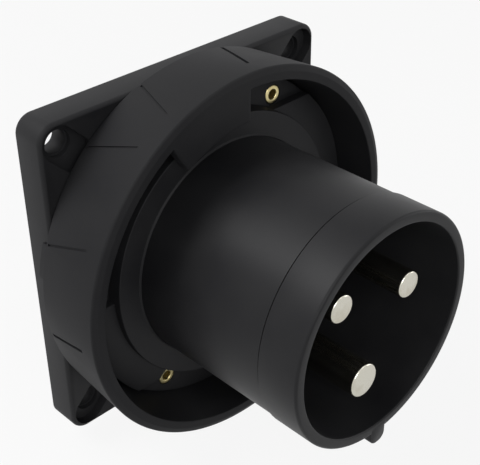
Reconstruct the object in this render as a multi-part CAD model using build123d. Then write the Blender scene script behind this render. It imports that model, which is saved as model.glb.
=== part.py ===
from build123d import *
import math
import os

# Three-pin appliance inlet for panel mounting, 63 A size, with a turning bayonet ring.
# It is drawn with its axis along Z and its front towards +Z. At the end each piece is turned
# so that the front faces -Y and +Z is up. The origin is the centre of the flange's back face.
# Heights are measured from there, and angles from the right, seen from the front.

# Clearances
seat_gap = 0.15
run_gap = 0.3
throat_gap = 0.5
screw_gap = 0.1

# Square flange and its corner screw holes
ring_overhang = 4.6
flange_thickness = 10.0
flange_corner_radius = 5.0
flange_edge_radius = 1.2
bolt_edge_distance = 7.5
bolt_hole_diameter = 6.6
bolt_step_diameter = 7.8
bolt_step_height = 5.6
recess_floor_height = 7.0
recess_width = 10.0
recess_outset = 1.5
recess_length = 7.2
coring_depth = 4.5
coring_wall = 3.0
coring_boss_radius = 6.5
coring_rib = 2.4
coring_fillet = 1.0

# Hub of the housing, in front of the flange and behind it
stem_step = 1.9
stem_rise = 7.0
spigot_wall = 2.85
spigot_length = 12.0
shoulder_height = 7.0
boss_radius = 4.6

# Flat gasket in the flange's back
gasket_margin = 2.5
gasket_width = 4.0
gasket_thickness = 2.0
gasket_groove_depth = 1.5
gasket_gap = 0.2

# Retainer in front of the hub, which holds the ring in its place
retainer_rim = 5.2
retainer_thickness = 3.0
collar_step = 1.7
collar_rise = 5.0
collar_edge = 0.4
collar_bead = 0.45
pad_rise = 2.6
pad_rivet_gap = 0.24
pad_bottom = 0.8
pad_edge = 0.3

# Hollow brass rivets
rivet_radius = 2.85
rivet_bore_radius = 1.4
rivet_length = 14.0
rivet_bevel = 0.3
rivet_outset = 1.6
rivet_angle = 60.0

# Turning bayonet ring
ring_wall = 4.4
ring_flare = 1.7
ring_rim_width = 4.1
ring_front_height = 34.0
ring_brow_width = 1.8
ring_brow_depth = 0.7
ring_mouth_bevel = 0.3
ring_skirt_wall = 3.6
ring_lip_thickness = 3.3
ring_travel = 25.0
lug_reach = 9.2
lug_start_angle = 90.0
lug_end_angle = 121.0
lug_thickness = 5.0
lug_ramp_angle = 5.0
lug_root = 1.2
lug_corner_round = 1.2
tab_start_angle = 162.4
tab_end_angle = 172.0
tab_drop = 1.3
groove_start_height = 11.2
groove_end_height = 27.2
wide_groove_width = 1.0
wide_groove_depth = 0.6
fine_groove_width = 0.6
fine_groove_depth = 0.4
wide_groove_angles = ((79.4, 83.3), (190.8, 186.4))
fine_groove_angles = ((109.0, 114.3), (160.5, 155.5))

# Shroud round the pins
shroud_inner_radius = 30.6
shroud_wall = 2.7
shroud_front_step = 0.4
shroud_step_height = 69.8
shroud_rim_height = 82.6
shroud_rim_bevel = 0.8
shroud_flange_width = 4.7
shroud_flange_thickness = 3.0
key_angle = -91.0
key_width = 5.8
key_height = 4.0
key_length = 48.0
key_round = 2.5
seal_thickness = 1.0
seal_inset = 0.3

# Contact carrier behind the mouth
carrier_face_height = 26.0
carrier_face_thickness = 4.0
carrier_wall = 2.6
carrier_flange_thickness = 7.0
carrier_boss_rise = 2.0
tower_wall = 2.2
tower_length = 28.0
tower_web = 2.6
tower_hub_radius = 5.0
window_width = 7.4
window_front_depth = 7.0

# Pins and their terminals
pin_circle_radius = 16.1
earth_pin_angle = 257.0
pin_step_angle = 120.0
live_pin_radius = 4.0
earth_pin_radius = 5.0
live_tip_height = 77.5
earth_tip_height = 79.5
pin_tip_round = 1.2
pin_root_step = 0.6
terminal_radius = 6.5
terminal_setback = 2.0
wire_bore_radius = 4.4
wire_bore_depth = 19.0
wire_bore_bevel = 0.6

# Screws
clamp_screw_radius = 2.5
clamp_head_radius = 3.2
clamp_head_height = 3.0
clamp_screw_spacing = 9.0
clamp_first_inset = 5.5
clamp_slot_width = 1.0
clamp_slot_depth = 1.2
carrier_screw_radius = 1.5
carrier_screw_inset = 2.6
carrier_screw_engagement = 8.0
carrier_head_radius = 2.6
carrier_head_height = 2.2
carrier_recess_radius = 1.2
carrier_recess_depth = 1.2
carrier_screw_count = 4
carrier_screw_start_angle = 45.0

# Heights and radii that follow
stem_front = flange_thickness + stem_rise
floor_height = stem_front + retainer_thickness
shroud_radius = shroud_inner_radius + shroud_wall
shroud_front_radius = shroud_radius + shroud_front_step
shroud_flange_radius = shroud_radius + shroud_flange_width
key_reach = shroud_front_radius + key_height
hub_bore_radius = shroud_radius + seat_gap
counterbore_radius = shroud_flange_radius + seat_gap
spigot_radius = counterbore_radius + spigot_wall
stem_radius = spigot_radius + stem_step
collar_radius = stem_radius - collar_step
rivet_circle_radius = stem_radius + rivet_outset
retainer_radius = rivet_circle_radius + retainer_rim
spigot_back = -spigot_length
ring_foot_height = flange_thickness + run_gap
ring_throat_radius = retainer_radius + throat_gap
ring_foot_radius = ring_throat_radius + ring_wall
ring_brow_radius = ring_foot_radius + ring_flare
ring_brow_height = ring_front_height - ring_brow_depth
ring_mouth_radius = ring_brow_radius - ring_rim_width
lug_inner_radius = ring_mouth_radius - lug_reach
flange_side = 2 * (ring_foot_radius - ring_overhang)
bolt_pitch = flange_side - 2 * bolt_edge_distance
gasket_inner_radius = flange_side / 2 - gasket_margin - gasket_width
carrier_screw_circle_radius = shroud_flange_radius - carrier_screw_inset
lip_front = stem_front - run_gap
lip_back = lip_front - ring_lip_thickness
shroud_flange_front = shoulder_height - seal_thickness
shroud_back = shroud_flange_front - shroud_flange_thickness
carrier_back = shroud_back - carrier_flange_thickness
carrier_plug_radius = shroud_inner_radius - seat_gap
boss_front = carrier_face_height + carrier_boss_rise
tower_back = carrier_back - tower_length
terminal_bore_radius = terminal_radius + seat_gap
tower_radius = terminal_bore_radius + tower_wall
terminal_front = carrier_back - seat_gap
terminal_back = tower_back + terminal_setback
slack = 1.0


def turned(*points):
    """Revolves a closed outline of (radius, height) points round the axis."""
    outline = Polyline(*[(radius, 0, height) for radius, height in points], close=True)
    return revolve(make_face(outline), Axis.Z)


def tube(inner, outer, low, high):
    """A plain ring between two radii and two heights."""
    return turned((inner, low), (outer, low), (outer, high), (inner, high))


def disc(radius, low, high, x=0.0, y=0.0):
    """A plain cylinder between two heights."""
    return Pos(x, y, low) * extrude(Circle(radius), high - low)


def sector(inner, outer, low, high, start, end):
    """A piece of a ring from one angle to another."""
    outline = Polyline((inner, 0, low), (outer, 0, low), (outer, 0, high), (inner, 0, high), close=True)
    return Rot(0, 0, start) * revolve(make_face(outline), Axis.Z, end - start)


def circles_at(solid, height, radius):
    """The circular edges of a solid at one height and one radius."""
    edges = solid.edges().filter_by(GeomType.CIRCLE)
    return edges.filter_by(
        lambda edge: abs(edge.center().Z - height) < 0.01 and abs(edge.radius - radius) < 0.01
    )


def at_angle(radius, angle):
    """The place on a circle round the axis."""
    return radius * math.cos(math.radians(angle)), radius * math.sin(math.radians(angle))


def half_turns(shape):
    """A shape and its copy on the opposite side of the axis."""
    return [shape, Rot(0, 0, 180) * shape]


def corner_turns(shape):
    """A shape at each of the four corners."""
    return [Rot(0, 0, 90 * corner) * shape for corner in range(4)]


# Flange housing

def corner_hole():
    """Screw hole of one corner, with the long recess that runs in under the ring."""
    place = bolt_pitch / 2
    through = disc(bolt_hole_diameter / 2, -slack, bolt_step_height, place, place)
    step = disc(bolt_step_diameter / 2, bolt_step_height, recess_floor_height, place, place)
    outer_end = (place + recess_outset) * math.sqrt(2)
    slot = Pos(outer_end - recess_length / 2, 0, 0) * SlotCenterToCenter(recess_length, recess_width)
    recess = Pos(0, 0, recess_floor_height) * extrude(slot, flange_thickness)
    return through + step + Rot(0, 0, 45) * recess


def corner_coring():
    """Pockets in the back of one corner, on both sides of a rib and of the screw boss."""
    inner = gasket_inner_radius + gasket_width + gasket_gap + coring_wall
    side = flange_side / 2 - coring_wall
    place = bolt_pitch / 2
    corner = Rectangle(side, side, align=(Align.MIN, Align.MIN))
    pocket = corner - Circle(inner) - Pos(place, place) * Circle(coring_boss_radius)
    pocket -= Rot(0, 0, 45) * Rectangle(2 * flange_side, coring_rib)
    pocket -= Pos(side, side) * Rectangle(2 * coring_boss_radius, 2 * coring_boss_radius)
    pocket = fillet(pocket.vertices(), coring_fillet / 2)
    return Pos(0, 0, -slack) * extrude(pocket, coring_depth + slack)


def flange_housing():
    """Square flange with the hub in front, the spigot behind and two bosses for the rivets."""
    plate = extrude(RectangleRounded(flange_side, flange_side, flange_corner_radius), flange_thickness)
    plate = fillet(plate.edges().group_by(Axis.Z)[-1], flange_edge_radius)
    body = plate + disc(stem_radius, 0, stem_front) + disc(spigot_radius, spigot_back, flange_thickness)
    for boss in half_turns(disc(boss_radius, 0, stem_front, *at_angle(rivet_circle_radius, rivet_angle))):
        body += boss
    body -= disc(hub_bore_radius, spigot_back - slack, stem_front + slack)
    body -= disc(counterbore_radius, spigot_back - slack, shoulder_height)
    groove_inner = gasket_inner_radius - gasket_gap
    groove_outer = gasket_inner_radius + gasket_width + gasket_gap
    body -= tube(groove_inner, groove_outer, -slack, gasket_groove_depth)
    hole_place = at_angle(rivet_circle_radius, rivet_angle)
    hole = disc(rivet_radius + screw_gap, floor_height - rivet_length, stem_front + slack, *hole_place)
    for cut in half_turns(hole) + corner_turns(corner_hole()) + corner_turns(corner_coring()):
        body -= cut
    for cut in carrier_screw_holes(shoulder_height - slack, shoulder_height + carrier_screw_engagement):
        body -= cut
    return body


def carrier_screw_angles():
    """Angles of the screws that hold the carrier and the shroud to the housing."""
    step = 360 / carrier_screw_count
    return [carrier_screw_start_angle + step * index for index in range(carrier_screw_count)]


def carrier_screw_holes(low, high):
    """Holes for those screws between two heights."""
    radius = carrier_screw_radius + screw_gap
    places = [at_angle(carrier_screw_circle_radius, angle) for angle in carrier_screw_angles()]
    return [disc(radius, low, high, x, y) for x, y in places]


# Gasket, retainer and rivets

def flange_gasket():
    """Flat rubber ring in the groove of the flange's back."""
    back = gasket_groove_depth - gasket_thickness
    return tube(gasket_inner_radius, gasket_inner_radius + gasket_width, back, gasket_groove_depth)


def retainer_pad():
    """Raised part of the retainer's floor, level at its top and its bottom, next to one rivet."""
    rivet_height = at_angle(rivet_circle_radius, rivet_angle)[1]
    pad_top = rivet_height - rivet_radius - pad_rivet_gap
    band = Rectangle(retainer_radius, pad_top - pad_bottom, align=(Align.MIN, Align.MIN))
    outline = Pos(0, pad_bottom) * band & Circle(retainer_radius - seat_gap)
    pad = Pos(0, 0, floor_height) * extrude(outline - Circle(collar_radius - slack), pad_rise)
    return chamfer(pad.edges().group_by(Axis.Z)[-1], pad_edge)


def ring_retainer():
    """Plate over the ring's lip, with a collar round the shroud and two raised pads."""
    face = floor_height + collar_rise
    body = turned(
        (hub_bore_radius, stem_front),
        (retainer_radius, stem_front),
        (retainer_radius, floor_height),
        (collar_radius, floor_height),
        (collar_radius, face - collar_edge),
        (collar_radius - collar_edge, face),
        (hub_bore_radius + collar_bead, face),
        (hub_bore_radius, face + collar_bead),
    )
    for pad in half_turns(retainer_pad()):
        body += pad
    hole = disc(rivet_radius + screw_gap, 0, face, *at_angle(rivet_circle_radius, rivet_angle))
    for cut in half_turns(hole):
        body -= cut
    return body


def rivet():
    """Hollow brass rivet, flush with the retainer's floor."""
    back = floor_height - rivet_length
    body = turned(
        (rivet_bore_radius, back),
        (rivet_radius, back),
        (rivet_radius, floor_height - rivet_bevel),
        (rivet_radius - rivet_bevel, floor_height),
        (rivet_bore_radius + rivet_bevel, floor_height),
        (rivet_bore_radius, floor_height - rivet_bevel),
    )
    return Pos(*at_angle(rivet_circle_radius, rivet_angle), 0) * body


# Bayonet ring

def wall_radius(height):
    """Outer radius of the flared ring at a height."""
    share = (height - ring_foot_height) / (ring_brow_height - ring_foot_height)
    return ring_foot_radius + share * (ring_brow_radius - ring_foot_radius)


def slanting_groove(start, end, width, depth):
    """Groove down the ring's outer wall from one angle at its foot to another at its top."""
    middle = (groove_start_height + groove_end_height) / 2
    rise = groove_end_height - groove_start_height
    radius = wall_radius(middle)
    drift = radius * math.radians(end - start)
    slant = math.degrees(math.atan2(drift, rise))
    flare = math.degrees(math.atan2(wall_radius(groove_end_height) - wall_radius(groove_start_height), rise))
    cutter = Pos(slack - depth, 0, 0) * Box(2 * slack, width, math.hypot(drift, rise))
    cutter = Pos(radius, 0, middle) * Rot(-slant, 0, 0) * Rot(0, flare, 0) * cutter
    return Rot(0, 0, (start + end) / 2) * cutter


def bayonet_lug():
    """Lug inside the ring's mouth, with a ramp on its back that draws the connector in."""
    mean_radius = (lug_inner_radius + ring_throat_radius) / 2
    mean_angle = (lug_start_angle + lug_end_angle) / 2
    back = ring_front_height - lug_thickness
    outer = ring_mouth_radius + lug_root
    lug = sector(lug_inner_radius, outer, back - lug_thickness, ring_front_height,
                 lug_start_angle, lug_end_angle)
    inner_ends = lug.edges().filter_by(Axis.Z).sort_by(
        lambda edge: math.hypot(edge.center().X, edge.center().Y))[:2]
    lug = fillet(inner_ends, lug_corner_round)
    below = Pos(0, 0, -lug_thickness) * Box(4 * lug_thickness, flange_side, 2 * lug_thickness)
    below = Pos(mean_radius, 0, back) * Rot(lug_ramp_angle, 0, 0) * below
    return lug - Rot(0, 0, mean_angle) * below


def stop_gap(low, high):
    """Break in the ring's lip that lets a boss of the housing travel and stops it at both ends."""
    reach = math.degrees(math.asin((boss_radius + run_gap) / rivet_circle_radius))
    start = rivet_angle - reach - ring_travel
    return sector(stem_radius - slack, ring_throat_radius, low, high, start, rivet_angle + reach)


def index_tab():
    """Tab at the ring's foot that passes beside the flange."""
    swing = max(180 - tab_start_angle, tab_end_angle + ring_travel - 180)
    inner = flange_side / 2 / math.cos(math.radians(swing)) + run_gap
    back = flange_thickness - tab_drop
    return sector(inner, ring_foot_radius, back, ring_foot_height + slack / 2, tab_start_angle, tab_end_angle)


def bayonet_ring():
    """Flared ring that turns on the hub, with two lugs, an inner lip and grip grooves."""
    skirt_radius = ring_foot_radius - ring_skirt_wall
    body = turned(
        (ring_foot_radius, ring_foot_height),
        (ring_brow_radius, ring_brow_height),
        (ring_brow_radius - ring_brow_width, ring_front_height),
        (ring_mouth_radius, ring_front_height),
        (ring_throat_radius, floor_height),
        (ring_throat_radius, lip_front),
        (stem_radius + run_gap, lip_front),
        (stem_radius + run_gap, lip_back),
        (skirt_radius, lip_back),
        (skirt_radius, ring_foot_height),
    )
    body = chamfer(circles_at(body, ring_front_height, ring_mouth_radius), ring_mouth_bevel)
    for cut in half_turns(stop_gap(lip_back - slack, lip_front + slack / 2)):
        body -= cut
    for lug in half_turns(bayonet_lug()):
        body += lug
    body += index_tab()
    for angles in wide_groove_angles:
        for cut in half_turns(slanting_groove(*angles, wide_groove_width, wide_groove_depth)):
            body -= cut
    for angles in fine_groove_angles:
        for cut in half_turns(slanting_groove(*angles, fine_groove_width, fine_groove_depth)):
            body -= cut
    return body


# Shroud and its seal

def shroud_key():
    """Rounded rib along the outside of the shroud's front."""
    inner = (shroud_inner_radius + shroud_radius) / 2
    bar = Pos(inner, 0, 0) * Rectangle(key_reach - inner, key_width, align=(Align.MIN, Align.CENTER))
    bar = fillet(bar.vertices().group_by(Axis.X)[-1], key_round)
    bar = Pos(0, 0, shroud_rim_height - key_length) * extrude(bar, key_length)
    return Rot(0, 0, key_angle) * bar


def pin_shroud():
    """Tube round the pins, with a rim, a fine step, a key and a flange at its back."""
    body = turned(
        (shroud_inner_radius, shroud_back),
        (shroud_flange_radius, shroud_back),
        (shroud_flange_radius, shroud_flange_front),
        (shroud_radius, shroud_flange_front),
        (shroud_radius, shroud_step_height),
        (shroud_front_radius, shroud_step_height),
        (shroud_front_radius, shroud_rim_height - shroud_rim_bevel),
        (shroud_front_radius - shroud_rim_bevel, shroud_rim_height),
        (shroud_inner_radius, shroud_rim_height),
    )
    body += shroud_key()
    for cut in carrier_screw_holes(shroud_back - slack, shroud_flange_front + slack):
        body -= cut
    return body


def shroud_seal():
    """Flat rubber ring between the shroud's flange and the housing's shoulder."""
    inner = hub_bore_radius + seal_inset
    outer = shroud_flange_radius - seal_inset
    body = tube(inner, outer, shroud_flange_front, shoulder_height)
    for cut in carrier_screw_holes(shroud_back, shoulder_height + slack):
        body -= cut
    return body


# Contact carrier

PINS = {
    "earth": (earth_pin_angle, earth_pin_radius, earth_tip_height),
    "line": (earth_pin_angle + pin_step_angle, live_pin_radius, live_tip_height),
    "neutral": (earth_pin_angle + 2 * pin_step_angle, live_pin_radius, live_tip_height),
}


def contact_carrier():
    """Moulded cup with a tower for each terminal and webs between them, open at the back."""
    face_back = carrier_face_height - carrier_face_thickness
    cup_radius = carrier_plug_radius - carrier_wall
    body = turned(
        (0, face_back),
        (cup_radius, face_back),
        (cup_radius, carrier_back),
        (shroud_flange_radius, carrier_back),
        (shroud_flange_radius, shroud_back),
        (carrier_plug_radius, shroud_back),
        (carrier_plug_radius, carrier_face_height),
        (0, carrier_face_height),
    )
    body += disc(tower_hub_radius, carrier_back, face_back)
    for angle, pin_radius, tip in PINS.values():
        x, y = at_angle(pin_circle_radius, angle)
        body += disc(tower_radius, tower_back, boss_front, x, y)
        web = Rectangle(cup_radius + slack, tower_web, align=(Align.MIN, Align.CENTER))
        body += Pos(0, 0, carrier_back) * extrude(Rot(0, 0, angle) * web, face_back - carrier_back)
    for angle, pin_radius, tip in PINS.values():
        x, y = at_angle(pin_circle_radius, angle)
        root_radius = pin_radius + pin_root_step + screw_gap
        body -= disc(root_radius, terminal_front - slack, boss_front + slack, x, y)
        body -= disc(terminal_bore_radius, tower_back - slack, terminal_front, x, y)
        reach = pin_circle_radius + tower_radius + slack
        window = Pos(pin_circle_radius, 0) * Rectangle(reach, window_width, align=(Align.MIN, Align.CENTER))
        depth = tower_length - window_front_depth
        body -= Pos(0, 0, tower_back - slack) * extrude(Rot(0, 0, angle) * window, depth + slack)
    for cut in carrier_screw_holes(carrier_back - slack, shroud_back + slack):
        body -= cut
    return body


# Pins, terminals and screws

def clamp_heights():
    """Heights of the two clamp screws of a terminal."""
    first = terminal_back + clamp_first_inset
    return [first, first + clamp_screw_spacing]


def clamp_screw_at(height, radius, start, end):
    """A cylinder that points outwards from a terminal at the angle 0."""
    rod = Rot(0, 90, 0) * extrude(Circle(radius), end - start)
    return Pos(pin_circle_radius + start, 0, height) * rod


def contact_pin(angle, radius, tip):
    """Turned pin with a tubular terminal behind it, bored for the wire and for two screws."""
    bore_front = terminal_back + wire_bore_depth
    body = turned(
        (0, bore_front),
        (wire_bore_radius, bore_front),
        (wire_bore_radius, terminal_back + wire_bore_bevel),
        (wire_bore_radius + wire_bore_bevel, terminal_back),
        (terminal_radius, terminal_back),
        (terminal_radius, terminal_front),
        (radius + pin_root_step, terminal_front),
        (radius + pin_root_step, boss_front),
        (radius, boss_front),
        (radius, tip),
        (0, tip),
    )
    body = fillet(circles_at(body, tip, radius), pin_tip_round)
    body = Pos(pin_circle_radius, 0, 0) * body
    for height in clamp_heights():
        body -= clamp_screw_at(height, clamp_screw_radius + screw_gap, 0, terminal_radius + slack)
    return Rot(0, 0, angle) * body


def clamp_screw(angle, height):
    """One slotted screw of a terminal."""
    tip = wire_bore_radius + seat_gap
    shank = clamp_screw_at(height, clamp_screw_radius, tip, terminal_radius)
    head_end = terminal_radius + clamp_head_height
    head = clamp_screw_at(height, clamp_head_radius, terminal_radius, head_end)
    slot = Box(clamp_slot_depth, 2 * clamp_head_radius + slack, clamp_slot_width,
               align=(Align.MAX, Align.CENTER, Align.CENTER))
    return Rot(0, 0, angle) * (shank + head - Pos(pin_circle_radius + head_end, 0, height) * slot)


def carrier_screw(angle):
    """One screw through the carrier, the shroud's flange and the seal into the housing."""
    tip = shoulder_height + carrier_screw_engagement - seat_gap
    head_back = carrier_back - carrier_head_height
    screw = disc(carrier_screw_radius, carrier_back, tip) + disc(carrier_head_radius, head_back, carrier_back)
    screw -= Pos(0, 0, head_back) * extrude(RegularPolygon(carrier_recess_radius, 6), carrier_recess_depth)
    return Pos(*at_angle(carrier_screw_circle_radius, angle), 0) * screw


nodes = {
    "flange_housing": flange_housing(),
    "flange_gasket": flange_gasket(),
    "ring_retainer": ring_retainer(),
    "rivet_upper": rivet(),
    "rivet_lower": Rot(0, 0, 180) * rivet(),
    "bayonet_ring": bayonet_ring(),
    "pin_shroud": pin_shroud(),
    "shroud_seal": shroud_seal(),
    "contact_carrier": contact_carrier(),
}
for number, angle in enumerate(carrier_screw_angles(), 1):
    nodes[f"carrier_screw_{number}"] = carrier_screw(angle)
for name, (angle, radius, tip) in PINS.items():
    nodes[f"pin_{name}"] = contact_pin(angle, radius, tip)
    for number, height in enumerate(clamp_heights(), 1):
        nodes[f"clamp_screw_{name}_{number}"] = clamp_screw(angle, height)

os.makedirs("parts", exist_ok=True)
for name, shape in nodes.items():
    export_step(Rot(90, 0, 0) * shape, os.path.join("parts", name + ".step"))
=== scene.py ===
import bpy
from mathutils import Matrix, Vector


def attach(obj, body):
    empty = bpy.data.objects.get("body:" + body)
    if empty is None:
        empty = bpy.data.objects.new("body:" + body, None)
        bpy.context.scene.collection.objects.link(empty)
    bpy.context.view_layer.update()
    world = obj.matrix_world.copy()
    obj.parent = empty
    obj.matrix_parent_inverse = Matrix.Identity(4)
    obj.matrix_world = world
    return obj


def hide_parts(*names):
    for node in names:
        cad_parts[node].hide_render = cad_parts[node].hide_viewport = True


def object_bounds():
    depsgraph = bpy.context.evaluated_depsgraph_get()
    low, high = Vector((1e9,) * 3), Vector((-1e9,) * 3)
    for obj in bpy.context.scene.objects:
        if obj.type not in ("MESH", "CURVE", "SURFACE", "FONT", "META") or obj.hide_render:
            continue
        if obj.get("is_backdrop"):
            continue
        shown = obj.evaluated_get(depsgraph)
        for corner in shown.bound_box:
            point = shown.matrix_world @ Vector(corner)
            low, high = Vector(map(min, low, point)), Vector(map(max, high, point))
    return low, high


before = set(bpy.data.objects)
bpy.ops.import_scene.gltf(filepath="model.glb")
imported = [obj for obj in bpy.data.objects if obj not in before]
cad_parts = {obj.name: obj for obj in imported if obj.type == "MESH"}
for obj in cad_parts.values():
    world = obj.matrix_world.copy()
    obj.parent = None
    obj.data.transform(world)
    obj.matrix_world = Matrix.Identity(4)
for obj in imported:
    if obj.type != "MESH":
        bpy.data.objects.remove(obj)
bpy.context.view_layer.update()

import logging
import math
from dataclasses import dataclass
from enum import Enum
from typing import Any, Iterable, Sequence

import bmesh
import bpy
from mathutils import Matrix, Vector

# Sizes are in millimetres and are turned into metres as a mesh is made. Pieces are drawn with
# their axis along Z and their front towards +Z, and seated with the front towards -Y.
MM = 0.001
SEAT_TURN = Matrix.Rotation(math.radians(90), 4, "X")

# Points of a drawn mesh, and of a CAD node's loose triangles, that are closer than this become one.
MERGE_GAP = 0.002
SOLID_MERGE_GAP = 0.004
# Angles in degrees: faces closer than the first count as one flat face, and edges sharper than the
# second are shaded as edges.
FLAT_ANGLE = 0.5
SMOOTH_ANGLE = 32
# How far a cutter reaches past what it cuts, and a joined form into the one that carries it.
PAST = 1.0
BITE = 0.5
# The bands of Blender's wave texture repeat each 2 pi / 20 of the scaled coordinate.
WAVE_PERIOD = 0.314

log = logging.getLogger("panel_inlet")

Point = tuple[float, float]
Corner = tuple[float, float, float]


class Body(Enum):
    """The two bodies that pieces ride on."""

    HOUSING = "housing"
    RING = "ring"


class Cut(Enum):
    """How a boolean joins two meshes."""

    TAKE_AWAY = "DIFFERENCE"
    ADD = "UNION"


# Numbers and outlines

def to_linear(hex_colour: str) -> tuple[float, float, float, float]:
    """Turns an sRGB hex colour into linear values.

    Args:
        hex_colour: Six hex digits, such as "1a1a1b".

    Returns:
        Red, green, blue and an alpha of 1.
    """
    channels = [int(hex_colour[start:start + 2], 16) / 255 for start in (0, 2, 4)]
    linear = [c / 12.92 if c <= 0.04045 else ((c + 0.055) / 1.055) ** 2.4 for c in channels]
    return linear[0], linear[1], linear[2], 1.0


def on_circle(radius: float, degrees: float) -> Point:
    """The place at an angle on a circle round the axis."""
    return radius * math.cos(math.radians(degrees)), radius * math.sin(math.radians(degrees))


def rounded(corners: Sequence[Corner], steps: int = 6) -> list[Point]:
    """Rounds the corners of a closed outline.

    Args:
        corners: The outline's corners, each as (first, second, round radius).
        steps: How many spans each round has.

    Returns:
        The outline's points, with an arc at each corner that has a radius.
    """
    points: list[Point] = []
    for index, (first, second, radius) in enumerate(corners):
        here = Vector((first, second))
        if radius <= 0:
            points.append((first, second))
            continue
        before = Vector(corners[index - 1][:2]) - here
        after = Vector(corners[(index + 1) % len(corners)][:2]) - here
        half = before.angle(after) / 2
        reach = radius / math.tan(half)
        start, end = here + before.normalized() * reach, here + after.normalized() * reach
        middle = here + (before.normalized() + after.normalized()).normalized() * radius / math.sin(half)
        sweep = (start - middle).angle_signed(end - middle)
        for step in range(steps + 1):
            turn = Matrix.Rotation(-sweep * step / steps, 2)
            spot = middle + turn @ (start - middle)
            points.append((spot.x, spot.y))
    return points


# Meshes

def new_object(name: str, shape: bmesh.types.BMesh) -> bpy.types.Object:
    """Turns a bmesh into an object in the scene.

    Args:
        name: The object's name.
        shape: The mesh, which is freed here.

    Returns:
        The new object, with its faces pointing outwards.
    """
    bmesh.ops.remove_doubles(shape, verts=shape.verts, dist=MERGE_GAP * MM)
    bmesh.ops.recalc_face_normals(shape, faces=shape.faces)
    mesh = bpy.data.meshes.new(name)
    shape.to_mesh(mesh)
    shape.free()
    made = bpy.data.objects.new(name, mesh)
    bpy.context.scene.collection.objects.link(made)
    return made


def lathe(name: str, outline: Sequence[Point], start: float = 0, end: float = 360,
          spans: int = 240) -> bpy.types.Object:
    """Revolves a closed outline round the axis.

    Args:
        name: The object's name.
        outline: Points as (radius, height) in millimetres.
        start: The angle at which it begins, in degrees.
        end: The angle at which it ends.
        spans: How many spans a full turn would have.

    Returns:
        A closed solid, whole or with two flat ends.
    """
    shape = bmesh.new()
    whole = end - start >= 360
    count = max(2, round(spans * (end - start) / 360))
    loops = []
    for index in range(count if whole else count + 1):
        x, y = on_circle(1, start + (end - start) * index / count)
        loops.append([shape.verts.new((r * x * MM, r * y * MM, h * MM)) for r, h in outline])
    pairs = zip(loops, loops[1:] + loops[:1]) if whole else zip(loops, loops[1:])
    for near, far in pairs:
        for index in range(len(outline)):
            after = (index + 1) % len(outline)
            if outline[index][0] == 0 and outline[after][0] == 0:
                continue
            shape.faces.new((near[index], near[after], far[after], far[index]))
    if not whole:
        shape.faces.new(loops[0])
        shape.faces.new(list(reversed(loops[-1])))
    return new_object(name, shape)


def prism(name: str, outline: Sequence[Point], low: float, high: float) -> bpy.types.Object:
    """Extrudes a closed outline along the axis.

    Args:
        name: The object's name.
        outline: Points in millimetres, seen from the front.
        low: The height of its back.
        high: The height of its front.

    Returns:
        A closed solid.
    """
    shape = bmesh.new()
    back = [shape.verts.new((x * MM, y * MM, low * MM)) for x, y in outline]
    front = [shape.verts.new((x * MM, y * MM, high * MM)) for x, y in outline]
    shape.faces.new(list(reversed(back)))
    shape.faces.new(front)
    for index in range(len(outline)):
        after = (index + 1) % len(outline)
        shape.faces.new((back[index], back[after], front[after], front[index]))
    return new_object(name, shape)


def block(name: str, size: Corner, place: Matrix) -> bpy.types.Object:
    """Makes a box.

    Args:
        name: The object's name.
        size: Its size in millimetres.
        place: Its place, as a matrix in metres.

    Returns:
        The box.
    """
    shape = bmesh.new()
    bmesh.ops.create_cube(shape, size=1, matrix=place @ Matrix.Diagonal((*(s * MM for s in size), 1)))
    return new_object(name, shape)


def circle(radius: float, x: float = 0, y: float = 0, spans: int = 64) -> list[Point]:
    """The points of a circle at a place."""
    return [(x + p[0], y + p[1]) for p in (on_circle(radius, 360 * i / spans) for i in range(spans))]


def plain_mesh(piece: bpy.types.Object) -> bpy.types.Object:
    """Applies the modifiers of a piece and removes them.

    Args:
        piece: The object.

    Returns:
        The same object, with its result as its mesh.
    """
    graph = bpy.context.evaluated_depsgraph_get()
    mesh = bpy.data.meshes.new_from_object(piece.evaluated_get(graph))
    piece.modifiers.clear()
    piece.data = mesh
    return piece


def carve(base: bpy.types.Object, tools: Iterable[bpy.types.Object], cut: Cut) -> bpy.types.Object:
    """Takes tools away from a solid, or adds them to it.

    Args:
        base: The solid.
        tools: The other solids, which are removed from the scene.
        cut: Whether they are added or taken away.

    Returns:
        The solid.
    """
    for tool in list(tools):
        change = base.modifiers.new("carve", "BOOLEAN")
        change.operation = cut.value
        change.solver = "EXACT"
        change.object = tool
        plain_mesh(base)
        bpy.data.objects.remove(tool)
    return base


def soften(piece: bpy.types.Object, width: float, angle: float = 35,
           segments: int = 2) -> bpy.types.Object:
    """Rounds the sharp edges of a piece a little, so that they catch the light.

    Args:
        piece: The object.
        width: The width of the round in millimetres.
        angle: The least angle in degrees that counts as sharp.
        segments: How many faces the round has.

    Returns:
        The same object.
    """
    bevel = piece.modifiers.new("soften", "BEVEL")
    bevel.width = width * MM
    bevel.segments = segments
    bevel.limit_method = "ANGLE"
    bevel.angle_limit = math.radians(angle)
    bevel.use_clamp_overlap = True
    return plain_mesh(piece)


def seat(piece: bpy.types.Object) -> bpy.types.Object:
    """Turns a drawn piece to its place in the part and shades its curved faces smoothly."""
    piece.data.transform(SEAT_TURN)
    return shade(piece)


def shade(piece: bpy.types.Object) -> bpy.types.Object:
    """Shades a piece smoothly, apart from its sharp edges.

    Args:
        piece: The object.

    Returns:
        The same object.
    """
    piece.data.polygons.foreach_set("use_smooth", [True] * len(piece.data.polygons))
    piece.data.set_sharp_from_angle(angle=math.radians(SMOOTH_ANGLE))
    piece.data.update()
    return piece


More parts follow.
